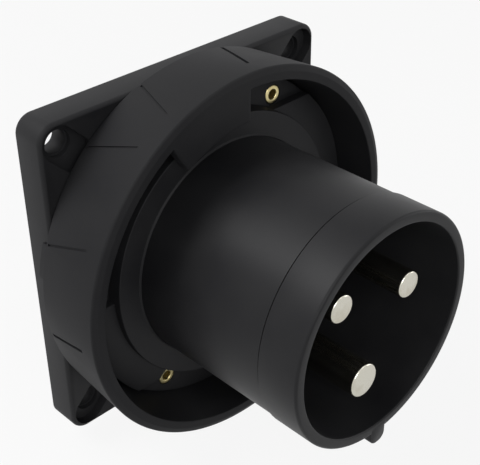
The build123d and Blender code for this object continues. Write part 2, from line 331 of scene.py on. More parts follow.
def copy_of(node: str, name: str) -> bpy.types.Object:
    """Copies a CAD node as one merged mesh with its flat faces whole.

    Args:
        node: The node's name.
        name: The copy's name.

    Returns:
        The copy, in the node's place.
    """
    shape = bmesh.new()
    shape.from_mesh(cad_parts[node].data)
    bmesh.ops.remove_doubles(shape, verts=shape.verts, dist=SOLID_MERGE_GAP * MM)
    bmesh.ops.dissolve_limit(shape, angle_limit=math.radians(FLAT_ANGLE), verts=shape.verts,
                             edges=shape.edges)
    return new_object(name, shape)


# Nodes

def add_node(tree: bpy.types.NodeTree, kind: str, settings: dict[str, Any] | None = None,
             inputs: dict[Any, Any] | None = None) -> bpy.types.Node:
    """Adds a node with its settings and links.

    Args:
        tree: The node tree.
        kind: The node's type name.
        settings: Attributes of the node.
        inputs: Values of its inputs by name or number; an output socket is linked.

    Returns:
        The node.
    """
    node = tree.nodes.new(kind)
    for key, value in (settings or {}).items():
        setattr(node, key, value)
    for key, value in (inputs or {}).items():
        if isinstance(value, bpy.types.NodeSocket):
            tree.links.new(value, node.inputs[key])
        else:
            node.inputs[key].default_value = value
    return node


def blank_material(name: str) -> tuple[bpy.types.Material, bpy.types.NodeTree]:
    """Makes a material with an empty node tree.

    Args:
        name: The material's name.

    Returns:
        The material and its node tree.
    """
    material = bpy.data.materials.new(name)
    material.use_nodes = True
    material.node_tree.nodes.clear()
    return material, material.node_tree


@dataclass(frozen=True)
class MouldedPlastic:
    """Glass-filled nylon, injection moulded in a lightly spark-eroded tool."""

    name: str
    colour: str = "1d1d1f"
    bloom_colour: str = "282829"
    roughness: float = 0.42
    roughness_spread: float = 0.06
    specular: float = 0.14
    grain: float = 0.45
    grain_depth: float = 0.012
    flow: float = 26.0
    scratch: float = 3.2

    def build(self) -> bpy.types.Material:
        """Builds the node tree.

        Returns:
            The material. Its fine grain breaks up highlights, and its slow mottle of gloss
            is the flow of the melt, so large black faces don't look like paint.
        """
        material, tree = blank_material(self.name)
        place = add_node(tree, "ShaderNodeTexCoord").outputs["Object"]
        flow = add_node(tree, "ShaderNodeTexNoise", None, {
            "Vector": place, "Scale": 1 / (self.flow * MM), "Detail": 4.0, "Roughness": 0.55})
        grain = add_node(tree, "ShaderNodeTexNoise", None, {
            "Vector": place, "Scale": 1 / (self.grain * MM), "Detail": 2.0, "Roughness": 0.6})
        long_way = add_node(tree, "ShaderNodeMapping", None, {
            "Vector": place, "Rotation": (0.4, 0.7, 0.2), "Scale": (1.0, 9.0, 1.0)})
        scratch = add_node(tree, "ShaderNodeTexNoise", None, {
            "Vector": long_way.outputs["Vector"], "Scale": 1 / (self.scratch * MM), "Detail": 3.0})
        rubbed = add_node(tree, "ShaderNodeMapRange", None, {
            "Value": scratch.outputs["Fac"], "From Min": 0.62, "From Max": 0.78,
            "To Min": 0.0, "To Max": 0.05})
        gloss = add_node(tree, "ShaderNodeMapRange", None, {
            "Value": flow.outputs["Fac"], "From Min": 0.3, "From Max": 0.7,
            "To Min": self.roughness - self.roughness_spread,
            "To Max": self.roughness + self.roughness_spread})
        rough = add_node(tree, "ShaderNodeMath", {"operation": "ADD"}, {
            0: gloss.outputs["Result"], 1: rubbed.outputs["Result"]})
        share = add_node(tree, "ShaderNodeMapRange", None, {
            "Value": flow.outputs["Fac"], "From Min": 0.35, "From Max": 0.75})
        tint = add_node(tree, "ShaderNodeMix", {"data_type": "RGBA"}, {
            "Factor": share.outputs["Result"],
            6: to_linear(self.colour), 7: to_linear(self.bloom_colour)})
        bump = add_node(tree, "ShaderNodeBump", None, {
            "Height": grain.outputs["Fac"], "Strength": 0.35, "Distance": self.grain_depth * MM})
        shader = add_node(tree, "ShaderNodeBsdfPrincipled", None, {
            "Base Color": tint.outputs[2], "Roughness": rough.outputs["Value"],
            "IOR": 1.5, "Specular IOR Level": self.specular, "Normal": bump.outputs["Normal"]})
        add_node(tree, "ShaderNodeOutputMaterial", None, {"Surface": shader.outputs["BSDF"]})
        return material


@dataclass(frozen=True)
class TurnedMetal:
    """Metal turned on a lathe along the part's axis, plated or bare."""

    name: str
    colour: str
    stain_colour: str
    roughness: float = 0.3
    pitch: float = 0.6
    groove_depth: float = 0.002
    blotch: float = 6.0

    def build(self) -> bpy.types.Material:
        """Builds the node tree.

        Returns:
            The material. Fine rings from the tool draw the highlight out along the pin, and
            faint blotches are where hands and the plating bath left it darker.
        """
        material, tree = blank_material(self.name)
        place = add_node(tree, "ShaderNodeTexCoord").outputs["Object"]
        rings = add_node(tree, "ShaderNodeTexWave", {"wave_type": "BANDS", "bands_direction": "Y"}, {
            "Vector": place, "Scale": WAVE_PERIOD / (self.pitch * MM), "Distortion": 0.6, "Detail": 1.0})
        blotch = add_node(tree, "ShaderNodeTexNoise", None, {
            "Vector": place, "Scale": 1 / (self.blotch * MM), "Detail": 2.0, "Roughness": 0.5})
        share = add_node(tree, "ShaderNodeMapRange", None, {
            "Value": blotch.outputs["Fac"], "From Min": 0.45, "From Max": 0.85})
        tint = add_node(tree, "ShaderNodeMix", {"data_type": "RGBA"}, {
            "Factor": share.outputs["Result"],
            6: to_linear(self.colour), 7: to_linear(self.stain_colour)})
        bump = add_node(tree, "ShaderNodeBump", None, {
            "Height": rings.outputs["Fac"], "Strength": 0.2, "Distance": self.groove_depth * MM})
        shader = add_node(tree, "ShaderNodeBsdfPrincipled", None, {
            "Base Color": tint.outputs[2], "Metallic": 1.0, "Roughness": self.roughness,
            "Normal": bump.outputs["Normal"]})
        add_node(tree, "ShaderNodeOutputMaterial", None, {"Surface": shader.outputs["BSDF"]})
        return material


@dataclass(frozen=True)
class MouldedRubber:
    """Nitrile rubber pressed in a mould, dull and slightly dusty."""

    name: str = "nitrile_rubber"
    colour: str = "141414"
    dust_colour: str = "2a2a29"
    roughness: float = 0.78
    speck: float = 0.8

    def build(self) -> bpy.types.Material:
        """Builds the node tree.

        Returns:
            The material. It is duller than the plastic round it and shows a little dust.
        """
        material, tree = blank_material(self.name)
        place = add_node(tree, "ShaderNodeTexCoord").outputs["Object"]
        speck = add_node(tree, "ShaderNodeTexNoise", None, {
            "Vector": place, "Scale": 1 / (self.speck * MM), "Detail": 4.0})
        share = add_node(tree, "ShaderNodeMapRange", None, {
            "Value": speck.outputs["Fac"], "From Min": 0.5, "From Max": 0.8})
        tint = add_node(tree, "ShaderNodeMix", {"data_type": "RGBA"}, {
            "Factor": share.outputs["Result"],
            6: to_linear(self.colour), 7: to_linear(self.dust_colour)})
        bump = add_node(tree, "ShaderNodeBump", None, {
            "Height": speck.outputs["Fac"], "Strength": 0.3, "Distance": 0.03 * MM})
        shader = add_node(tree, "ShaderNodeBsdfPrincipled", None, {
            "Base Color": tint.outputs[2], "Roughness": self.roughness, "Normal": bump.outputs["Normal"]})
        add_node(tree, "ShaderNodeOutputMaterial", None, {"Surface": shader.outputs["BSDF"]})
        return material


class Finishes:
    """The finishes of the part, each built once."""

    def __init__(self) -> None:
        """Builds every material."""
        self.housing = MouldedPlastic("glass_filled_nylon_housing", roughness=0.56).build()
        self.ring = MouldedPlastic("glass_filled_nylon_ring", roughness=0.58, specular=0.1).build()
        self.shroud = MouldedPlastic("glass_filled_nylon_shroud").build()
        self.carrier = MouldedPlastic("thermoset_carrier", colour="121213", bloom_colour="19191a",
                                      roughness=0.5).build()
        self.rubber = MouldedRubber().build()
        self.pin = TurnedMetal("nickel_plated_brass_pin", "c9c6ba", "b3ad9c", roughness=0.22).build()
        self.rivet = TurnedMetal("bare_brass_rivet", "dccf9c", "c2b27c", roughness=0.34).build()
        self.screw = TurnedMetal("zinc_plated_steel_screw", "c4c5c4", "a9aaa6", roughness=0.36).build()


def ride(piece: bpy.types.Object, body: Body, material: bpy.types.Material,
         nodes: Sequence[str]) -> bpy.types.Object:
    """Dresses a finished piece, sets it on its body and hides the CAD nodes that it stands for.

    Args:
        piece: The object, already in its place.
        body: The body that it rides on.
        material: Its finish.
        nodes: The CAD nodes that it replaces.

    Returns:
        The same object.
    """
    piece.data.materials.clear()
    piece.data.materials.append(material)
    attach(piece, body.value)
    if nodes:
        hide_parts(*nodes)
    log.info("%s: %d faces on %s", piece.name, len(piece.data.polygons), body.value)
    return piece


class RoundPattern:
    """Geometry Nodes that set rows of one piece round the axis."""

    def __init__(self) -> None:
        """Builds the node tree with its named inputs."""
        tree = bpy.data.node_groups.new("round_pattern", "GeometryNodeTree")
        sockets = tree.interface
        kinds = {"Piece": "NodeSocketObject", "Count": "NodeSocketInt",
                 "Circle Radius": "NodeSocketFloat", "Start Angle": "NodeSocketFloat",
                 "Row Count": "NodeSocketInt", "Row Spacing": "NodeSocketFloat",
                 "Material": "NodeSocketMaterial"}
        self.keys = {name: sockets.new_socket(name=name, in_out="INPUT", socket_type=kind).identifier
                     for name, kind in kinds.items()}
        sockets.new_socket(name="Geometry", in_out="OUTPUT", socket_type="NodeSocketGeometry")
        given = add_node(tree, "NodeGroupInput").outputs
        piece = add_node(tree, "GeometryNodeObjectInfo", None, {"Object": given["Piece"]})
        step = add_node(tree, "ShaderNodeCombineXYZ", None, {"Z": given["Row Spacing"]})
        line = add_node(tree, "GeometryNodeMeshLine", None, {
            "Count": given["Row Count"], "Offset": step.outputs["Vector"]})
        row = add_node(tree, "GeometryNodeInstanceOnPoints", None, {
            "Points": line.outputs["Mesh"], "Instance": piece.outputs["Geometry"]})
        index = add_node(tree, "GeometryNodeInputIndex").outputs["Index"]
        share = add_node(tree, "ShaderNodeMath", {"operation": "DIVIDE"}, {0: index, 1: given["Count"]})
        angle = add_node(tree, "ShaderNodeMath", {"operation": "MULTIPLY"}, {
            0: share.outputs["Value"], 1: math.tau}).outputs["Value"]
        right = add_node(tree, "ShaderNodeMath", {"operation": "COSINE"}, {0: angle}).outputs["Value"]
        up = add_node(tree, "ShaderNodeMath", {"operation": "SINE"}, {0: angle}).outputs["Value"]
        way = add_node(tree, "ShaderNodeCombineXYZ", None, {"X": right, "Y": up})
        place = add_node(tree, "ShaderNodeVectorMath", {"operation": "SCALE"}, {
            "Vector": way.outputs["Vector"], "Scale": given["Circle Radius"]})
        ring = add_node(tree, "GeometryNodePoints", None, {
            "Count": given["Count"], "Position": place.outputs["Vector"]})
        outward = add_node(tree, "FunctionNodeAlignRotationToVector", {"axis": "X"}, {
            "Vector": add_node(tree, "GeometryNodeInputPosition").outputs["Position"]})
        spread = add_node(tree, "GeometryNodeInstanceOnPoints", None, {
            "Points": ring.outputs["Points"], "Instance": row.outputs["Instances"],
            "Rotation": outward.outputs["Rotation"]})
        start = add_node(tree, "ShaderNodeCombineXYZ", None, {"Z": given["Start Angle"]})
        turned = add_node(tree, "GeometryNodeTransform", None, {
            "Geometry": spread.outputs["Instances"], "Rotation": start.outputs["Vector"]})
        real = add_node(tree, "GeometryNodeRealizeInstances", None, {
            "Geometry": turned.outputs["Geometry"]})
        dressed = add_node(tree, "GeometryNodeSetMaterial", None, {
            "Geometry": real.outputs["Geometry"], "Material": given["Material"]})
        add_node(tree, "NodeGroupOutput", None, {"Geometry": dressed.outputs["Geometry"]})
        self.tree = tree

    def spread(self, name: str, piece: bpy.types.Object, material: bpy.types.Material, count: int,
               radius: float, start: float, rows: int = 1, spacing: float = 0) -> bpy.types.Object:
        """Sets copies of a piece round the axis and makes them one plain mesh.

        Args:
            name: The name of the result.
            piece: The piece, drawn at the axis; it is removed from the scene.
            material: The finish of the copies.
            count: How many rows lie round the circle.
            radius: The circle's radius in millimetres.
            start: The first row's angle in degrees.
            rows: How many pieces lie along each row.
            spacing: The distance between them in millimetres.

        Returns:
            The seated result.
        """
        result = bpy.data.objects.new(name, bpy.data.meshes.new(name))
        bpy.context.scene.collection.objects.link(result)
        change = result.modifiers.new("pattern", "NODES")
        change.node_group = self.tree
        values = {"Piece": piece, "Count": count, "Circle Radius": radius * MM,
                  "Start Angle": math.radians(start), "Row Count": rows, "Row Spacing": spacing * MM,
                  "Material": material}
        for key, value in values.items():
            change[self.keys[key]] = value
        plain_mesh(result)
        bpy.data.objects.remove(piece)
        return seat(result)


# Sub-assemblies

@dataclass
class FlangeHousing:
    """Square flange with its hub, spigot, gasket and the seal under the shroud's flange."""

    gasket_inner: float = 43.5
    gasket_outer: float = 47.5
    gasket_back: float = -0.5
    gasket_front: float = 1.5
    gasket_round: float = 0.3
    seal_inner: float = 33.75
    seal_outer: float = 37.7
    seal_back: float = 6.0
    seal_front: float = 7.0
    edge: float = 0.35

    def housing(self) -> bpy.types.Object:
        """The moulded housing, from the CAD solid, with its edges eased."""
        return shade(soften(copy_of("flange_housing", "flange_and_hub"), self.edge))

    def gasket(self) -> bpy.types.Object:
        """The flat gasket in the flange's back."""
        outline = rounded([(self.gasket_inner, self.gasket_back, self.gasket_round),
                           (self.gasket_outer, self.gasket_back, self.gasket_round),
                           (self.gasket_outer, self.gasket_front, self.gasket_round),
                           (self.gasket_inner, self.gasket_front, self.gasket_round)])
        return seat(lathe("gasket_ring", outline))

    def seal(self) -> bpy.types.Object:
        """The flat seal inside the hub."""
        outline = [(self.seal_inner, self.seal_back), (self.seal_outer, self.seal_back),
                   (self.seal_outer, self.seal_front), (self.seal_inner, self.seal_front)]
        return seat(lathe("inner_seal_ring", outline))

    def dress(self, finishes: Finishes) -> None:
        """Builds and dresses the pieces.

        Args:
            finishes: The part's finishes.
        """
        ride(self.housing(), Body.HOUSING, finishes.housing, ["flange_housing"])
        ride(self.gasket(), Body.HOUSING, finishes.rubber, ["flange_gasket"])
        ride(self.seal(), Body.HOUSING, finishes.rubber, ["shroud_seal"])


@dataclass
class RingRetainer:
    """Plate over the ring's lip, with its collar, two raised pads and two hollow rivets."""

    bore: float = 33.45
    plate_radius: float = 49.7
    collar_radius: float = 40.6
    back: float = 17.0
    floor: float = 20.0
    face: float = 25.0
    collar_root: float = 0.6
    bead: float = 0.45
    bead_round: float = 0.05
    pad_face: float = 22.6
    pad_radius: float = 49.55
    pad_top: float = 35.45
    pad_bottom: float = 0.8
    pad_edge: float = 0.25
    rivet_circle: float = 44.5
    rivet_angle: float = 60.0
    rivet_radius: float = 2.85
    rivet_bore: float = 1.4
    rivet_back: float = 6.0
    rivet_round: float = 0.35
    hole_gap: float = 0.1
    relief_radius: float = 5.5
    edge: float = 0.3

    def plate(self) -> bpy.types.Object:
        """The plate with its collar and pads, bored for the rivets and cleared round the lower one.

        Returns:
            The seated plate.
        """
        outline = rounded([(self.bore, self.back, 0), (self.plate_radius, self.back, 0),
                           (self.plate_radius, self.floor, self.edge),
                           (self.collar_radius, self.floor, self.collar_root),
                           (self.collar_radius, self.face, self.edge),
                           (self.bore + self.bead, self.face, self.bead_round),
                           (self.bore, self.face + self.bead, 0)])
        body = lathe("ring_keeper", outline)
        pads = [self.pad(0), self.pad(180)]
        carve(body, pads, Cut.ADD)
        x, y = on_circle(self.rivet_circle, self.rivet_angle)
        radius = self.rivet_radius + self.hole_gap
        holes = [prism("hole", circle(radius, side * x, side * y), self.back - PAST, self.face + PAST)
                 for side in (1, -1)]
        relief = prism("relief", circle(self.relief_radius, -x, -y), self.floor, self.pad_face + PAST / 2)
        return seat(carve(body, [*holes, relief], Cut.TAKE_AWAY))

    def pad(self, turn: float) -> bpy.types.Object:
        """One raised part of the floor.

        Args:
            turn: Its turn about the axis in degrees.

        Returns:
            The pad, as drawn.
        """
        outline = self.pad_arc(self.pad_radius) + self.pad_arc(self.collar_radius - 2 * BITE)[::-1]
        pad = prism("pad", outline, self.floor - BITE, self.pad_face)
        soften(pad, self.pad_edge, angle=50)
        pad.data.transform(Matrix.Rotation(math.radians(turn), 4, "Z"))
        return pad

    def pad_arc(self, radius: float, spans: int = 36) -> list[Point]:
        """The arc at a radius between the levels of a pad's bottom and top."""
        low, high = (math.degrees(math.asin(level / radius))
                     for level in (self.pad_bottom, self.pad_top))
        return [on_circle(radius, low + (high - low) * index / spans) for index in range(spans + 1)]

    def rivet(self) -> bpy.types.Object:
        """One hollow rivet at the axis, with a rolled front edge and a countersunk bore."""
        outline = rounded([(self.rivet_bore, self.rivet_back, 0), (self.rivet_radius, self.rivet_back, 0),
                           (self.rivet_radius, self.floor, self.rivet_round),
                           (self.rivet_bore, self.floor, self.rivet_round)], steps=5)
        return lathe("rivet", outline, spans=48)

    def dress(self, finishes: Finishes, pattern: RoundPattern) -> None:
        """Builds and dresses the pieces.

        Args:
            finishes: The part's finishes.
            pattern: The node tree that sets rows of one piece round the axis.
        """
        ride(self.plate(), Body.HOUSING, finishes.housing, ["ring_retainer"])
        rivets = pattern.spread("hollow_rivets", self.rivet(), finishes.rivet, 2, self.rivet_circle,
                                self.rivet_angle)
        ride(rivets, Body.HOUSING, finishes.rivet, ["rivet_upper", "rivet_lower"])


@dataclass
class BayonetRing:
    """Flared ring that turns on the hub."""

    foot_radius: float = 54.6
    brow_radius: float = 56.3
    brow_width: float = 1.8
    brow_depth: float = 0.7
    mouth_radius: float = 52.2
    throat_radius: float = 50.2
    lip_radius: float = 43.2
    skirt_radius: float = 51.0
    foot: float = 10.3
    front: float = 34.0
    floor: float = 20.0
    lip_front: float = 16.7
    lip_back: float = 13.4
    foot_round: float = 0.3
    brow_round: float = 0.8
    mouth_round: float = 0.3
    lip_round: float = 0.3
    skirt_round: float = 0.5
    spans: int = 288
    travel: float = 25.0
    boss_angle: float = 60.0
    boss_circle: float = 44.5
    boss_reach: float = 4.9
    lug_inner: float = 43.0
    lug_start: float = 90.0
    lug_end: float = 121.0
    lug_thickness: float = 5.0
    lug_ramp: float = 5.0
    lug_root: float = 1.2
    lug_edge: float = 0.5
    tab_inner: float = 53.2
    tab_back: float = 8.7
    tab_start: float = 161.2
    tab_end: float = 172.0
    tab_edge: float = 0.2
    groove_low: float = 11.2
    groove_high: float = 27.2
    wide_grooves: tuple[Point, ...] = ((78.2, 84.3), (191.0, 186.2))
    fine_grooves: tuple[Point, ...] = ((109.0, 114.3), (131.8, 125.9), (160.9, 155.4))
    wide_size: Point = (1.0, 0.6)
    fine_size: Point = (0.6, 0.4)
    groove_tool: float = 2.0

    def wall(self, height: float) -> float:
        """The flared wall's outer radius at a height."""
        share = (height - self.foot) / (self.front - self.brow_depth - self.foot)
        return self.foot_radius + share * (self.brow_radius - self.foot_radius)

    def body(self) -> bpy.types.Object:
        """The revolved ring with its lip."""
        outline = rounded([
            (self.foot_radius, self.foot, self.foot_round),
            (self.brow_radius, self.front - self.brow_depth, self.brow_round),
            (self.brow_radius - self.brow_width, self.front, self.brow_round),
            (self.mouth_radius, self.front, self.mouth_round), (self.throat_radius, self.floor, 0),
            (self.throat_radius, self.lip_front, 0), (self.lip_radius, self.lip_front, self.lip_round),
            (self.lip_radius, self.lip_back, self.lip_round),
            (self.skirt_radius, self.lip_back, self.skirt_round),
            (self.skirt_radius, self.foot, self.foot_round)], steps=8)
        return lathe("turning_ring", outline, spans=self.spans)

    def lug(self, turn: float) -> bpy.types.Object:
        """One lug with a ramp on its back.

        Args:
            turn: Its turn about the axis in degrees.

        Returns:
            The lug, as drawn.
        """
        back = self.front - self.lug_thickness
        root = self.mouth_radius + self.lug_root
        outline = [(self.lug_inner, back - self.lug_thickness), (root, back - self.lug_thickness),
                   (root, self.front), (self.lug_inner, self.front)]
        lug = lathe("lug", outline, self.lug_start, self.lug_end, self.spans)
        middle = math.radians((self.lug_start + self.lug_end) / 2)
        span = 4 * self.lug_thickness
        place = (Matrix.Rotation(middle, 4, "Z")
                 @ Matrix.Translation(((self.lug_inner + self.throat_radius) / 2 * MM, 0, back * MM))
                 @ Matrix.Rotation(math.radians(self.lug_ramp), 4, "X")
                 @ Matrix.Translation((0, 0, -self.lug_thickness * MM)))
        ramp = block("ramp", (span, 2 * self.foot_radius, 2 * self.lug_thickness), place)
        carve(lug, [ramp], Cut.TAKE_AWAY)
        soften(lug, self.lug_edge, angle=40, segments=3)
        lug.data.transform(Matrix.Rotation(math.radians(turn), 4, "Z"))
        return lug

    def groove(self, start: float, end: float, size: Point) -> bpy.types.Object:
        """A cutter for one slanting groove that follows the flare.

        Args:
            start: The angle of its low end in degrees.
            end: The angle of its high end.
            size: Its width and its depth in millimetres.

        Returns:
            The cutter, as drawn.
        """
        middle = (self.groove_low + self.groove_high) / 2
        rise = self.groove_high - self.groove_low
        radius = self.wall(middle)
        drift = radius * math.radians(end - start)
        flare = math.atan2(self.wall(self.groove_high) - self.wall(self.groove_low), rise)
        place = (Matrix.Rotation(math.radians((start + end) / 2), 4, "Z")
                 @ Matrix.Translation((radius * MM, 0, middle * MM))
                 @ Matrix.Rotation(-math.atan2(drift, rise), 4, "X") @ Matrix.Rotation(flare, 4, "Y")
                 @ Matrix.Translation(((self.groove_tool / 2 - size[1]) * MM, 0, 0)))
        return block("groove", (self.groove_tool, size[0], math.hypot(drift, rise)), place)

    def cutters(self) -> list[bpy.types.Object]:
        """The cutters of all grooves and of the two breaks in the lip.

        Returns:
            The cutters, as drawn.
        """
        tools = []
        for grooves, size in ((self.wide_grooves, self.wide_size), (self.fine_grooves, self.fine_size)):
            for start, end in grooves:
                tools += [self.groove(start + turn, end + turn, size) for turn in (0, 180)]
        reach = math.degrees(math.asin(self.boss_reach / self.boss_circle))
        low, high = self.lip_back - PAST, self.lip_front + PAST / 2
        outline = [(self.lip_radius - PAST, low), (self.throat_radius, low),
                   (self.throat_radius, high), (self.lip_radius - PAST, high)]
        for turn in (0, 180):
            start = self.boss_angle - reach - self.travel + turn
            tools.append(lathe("gap", outline, start, self.boss_angle + reach + turn, self.spans))
        return tools

    def tab(self) -> bpy.types.Object:
        """The index tab at the ring's foot.

        Returns:
            The tab, as drawn.
        """
        outline = [(self.tab_inner, self.tab_back), (self.foot_radius, self.tab_back),
                   (self.foot_radius, self.foot + BITE), (self.tab_inner, self.foot + BITE)]
        tab = lathe("tab", outline, self.tab_start, self.tab_end, self.spans)
        return soften(tab, self.tab_edge, angle=40)

    def dress(self, finishes: Finishes) -> None:
        """Builds and dresses the ring.

        Args:
            finishes: The part's finishes.
        """
        ring = carve(self.body(), self.cutters(), Cut.TAKE_AWAY)
        carve(ring, [self.lug(0), self.lug(180), self.tab()], Cut.ADD)
        ride(seat(ring), Body.RING, finishes.ring, ["bayonet_ring"])


@dataclass
class PinShroud:
    """Tube round the pins, with a fine step, a key and a flange at its back."""

    inner: float = 30.6
    outer: float = 33.3
    front_outer: float = 33.7
    step: float = 69.8
    rim: float = 82.6
    rim_round: float = 0.8
    mouth_round: float = 0.5
    step_round: float = 0.1
    line_width: float = 0.45
    line_depth: float = 0.3
    back: float = 3.0
    flange_front: float = 6.0
    flange_radius: float = 38.0
    flange_round: float = 0.3
    key_angle: float = -90.3
    key_width: float = 5.8
    key_reach: float = 37.7
    key_length: float = 48.0
    key_round: float = 2.5
    key_edge: float = 0.3

    def tube(self) -> bpy.types.Object:
        """The revolved tube.

        Returns:
            The tube, as drawn.
        """
        line_back, line_floor = self.step - self.line_width, self.outer - self.line_depth
        outline = rounded([
            (self.inner, self.back, 0), (self.flange_radius, self.back, self.flange_round),
            (self.flange_radius, self.flange_front, self.flange_round),
            (self.outer, self.flange_front, 0), (self.outer, line_back, 0), (line_floor, line_back, 0),
            (line_floor, self.step, 0), (self.front_outer, self.step, self.step_round),
            (self.front_outer, self.rim, self.rim_round), (self.inner, self.rim, self.mouth_round)])
        return lathe("pin_collar", outline, spans=256)

    def key(self) -> bpy.types.Object:
        """The rounded rib outside the tube.

        Returns:
            The rib, as drawn.
        """
        inner = (self.inner + self.outer) / 2
        half = self.key_width / 2
        outline = rounded([(inner, -half, 0), (self.key_reach, -half, self.key_round),
                           (self.key_reach, half, self.key_round), (inner, half, 0)])
        key = prism("key", outline, self.rim - self.key_length, self.rim)
        soften(key, self.key_edge, angle=50)
        key.data.transform(Matrix.Rotation(math.radians(self.key_angle), 4, "Z"))
        return key

    def dress(self, finishes: Finishes) -> None:
        """Builds and dresses the shroud."""
        shroud = carve(self.tube(), [self.key()], Cut.ADD)
        ride(seat(shroud), Body.HOUSING, finishes.shroud, ["pin_shroud"])


@dataclass
class ContactSet:
    """Contact carrier, pins with their terminals, and all the screws behind the panel."""

    circle_radius: float = 16.1
    earth_angle: float = 257.0
    line_angle: float = 17.0
    neutral_angle: float = 137.0
    live_radius: float = 4.0
    earth_radius: float = 5.0
    root_step: float = 0.6
    live_tip: float = 77.5
    earth_tip: float = 79.5
    tip_round: float = 0.6
    root_front: float = 28.0
    terminal_radius: float = 6.5
    terminal_front: float = -4.15
    terminal_back: float = -30.0
    terminal_round: float = 0.4
    terminal_shoulder: float = 0.2
    root_round: float = 0.3
    wire_bore: float = 4.4
    wire_bore_front: float = -11.0
    clamp_radius: float = 2.5
    clamp_hole_gap: float = 0.1
    clamp_rise: float = 0.15
    clamp_head_radius: float = 3.2
    clamp_head_height: float = 3.0
    clamp_head_round: float = 0.35
    clamp_first: float = -24.5
    clamp_spacing: float = 9.0
    clamp_slot_width: float = 1.0
    clamp_slot_depth: float = 1.2
    carrier_circle: float = 35.4
    carrier_angle: float = 45.0
    carrier_back: float = -4.0
    carrier_tip: float = 14.85
    carrier_radius: float = 1.5
    carrier_head_radius: float = 2.6
    carrier_head_height: float = 2.2
    carrier_head_round: float = 0.4
    carrier_recess_radius: float = 1.2
    carrier_recess_depth: float = 1.2
    screw_tip_round: float = 0.3
    under_head_round: float = 0.1
    edge: float = 0.25

    def carrier(self) -> bpy.types.Object:
        """The moulded carrier, from the CAD solid, with its edges eased."""
        return shade(soften(copy_of("contact_carrier", "insulating_carrier"), self.edge))

    def pin(self, name: str, angle: float, radius: float, tip: float) -> bpy.types.Object:
        """One pin with its terminal.

        Args:
            name: The object's name.
            angle: Its place round the axis in degrees.
            radius: The pin's radius in millimetres.
            tip: The height of its tip.

        Returns:
            The seated pin.
        """
        root = radius + self.root_step
        outline = rounded([
            (0, self.wire_bore_front, 0), (self.wire_bore, self.wire_bore_front, 0),
            (self.wire_bore, self.terminal_back, self.terminal_round),
            (self.terminal_radius, self.terminal_back, self.terminal_round),
            (self.terminal_radius, self.terminal_front, self.terminal_shoulder),
            (root, self.terminal_front, 0), (root, self.root_front, self.root_round),
            (radius, self.root_front, 0), (radius, tip, self.tip_round), (0, tip, 0)], steps=10)
        body = lathe(name, outline, spans=72)
        holes = []
        for height in (self.clamp_first, self.clamp_first + self.clamp_spacing):
            hole = prism("hole", circle(self.clamp_radius + self.clamp_hole_gap, spans=40), 0,
                         self.terminal_radius + PAST)
            hole.data.transform(Matrix.Translation((0, 0, height * MM))
                                @ Matrix.Rotation(math.radians(90), 4, "Y"))
            holes.append(hole)
        carve(body, holes, Cut.TAKE_AWAY)
        body.data.transform(Matrix.Rotation(math.radians(angle), 4, "Z")
                            @ Matrix.Translation((self.circle_radius * MM, 0, 0)))
        return seat(body)

    def clamp_screw(self) -> bpy.types.Object:
        """One slotted screw that points outwards from a terminal, at its first height.

        Returns:
            The screw, as drawn.
        """
        tip, under_head = self.wire_bore + self.clamp_rise, self.terminal_radius
        end = under_head + self.clamp_head_height
        outline = rounded([(0, tip, 0), (self.clamp_radius, tip, self.screw_tip_round),
                           (self.clamp_radius, under_head, 0),
                           (self.clamp_head_radius, under_head, self.under_head_round),
                           (self.clamp_head_radius, end, self.clamp_head_round), (0, end, 0)], steps=4)
        screw = lathe("clamp_screw", outline, spans=40)
        size = (3 * self.clamp_head_radius, self.clamp_slot_width, 2 * self.clamp_slot_depth)
        slot = block("slot", size, Matrix.Translation((0, 0, end * MM)))
        carve(screw, [slot], Cut.TAKE_AWAY)
        screw.data.transform(Matrix.Translation((0, 0, self.clamp_first * MM))
                             @ Matrix.Rotation(math.radians(90), 4, "Y"))
        return screw

    def carrier_screw(self) -> bpy.types.Object:
        """One screw of the carrier, with a hexagonal recess in its head.

        Returns:
            The screw, as drawn.
        """
        back = self.carrier_back - self.carrier_head_height
        outline = rounded([(0, back, 0), (self.carrier_head_radius, back, self.carrier_head_round),
                           (self.carrier_head_radius, self.carrier_back, self.under_head_round),
                           (self.carrier_radius, self.carrier_back, 0),
                           (self.carrier_radius, self.carrier_tip, self.screw_tip_round),
                           (0, self.carrier_tip, 0)], steps=4)
        screw = lathe("carrier_screw", outline, spans=40)
        recess = prism("recess", circle(self.carrier_recess_radius, spans=6), back - PAST,
                       back + self.carrier_recess_depth)
        return carve(screw, [recess], Cut.TAKE_AWAY)

    def dress(self, finishes: Finishes, pattern: RoundPattern) -> None:
        """Builds and dresses the pieces.

        Args:
            finishes: The part's finishes.
            pattern: The node tree that sets rows of one piece round the axis.
        """
        ride(self.carrier(), Body.HOUSING, finishes.carrier, ["contact_carrier"])
        pins = (("earth", self.earth_angle, self.earth_radius, self.earth_tip),
                ("line", self.line_angle, self.live_radius, self.live_tip),
                ("neutral", self.neutral_angle, self.live_radius, self.live_tip))
        for name, angle, radius, tip in pins:
            pin = self.pin(f"contact_{name}", angle, radius, tip)
            ride(pin, Body.HOUSING, finishes.pin, [f"pin_{name}"])
        clamps = pattern.spread("clamp_screws", self.clamp_screw(), finishes.screw, 3,
                                self.circle_radius, self.line_angle, rows=2, spacing=self.clamp_spacing)
        names = [f"clamp_screw_{name}_{number}" for name, *_ in pins for number in (1, 2)]
        ride(clamps, Body.HOUSING, finishes.screw, names)
        screws = pattern.spread("carrier_screws", self.carrier_screw(), finishes.screw, 4,
                                self.carrier_circle, self.carrier_angle)
        names = [f"carrier_screw_{number}" for number in (1, 2, 3, 4)]
        ride(screws, Body.HOUSING, finishes.screw, names)


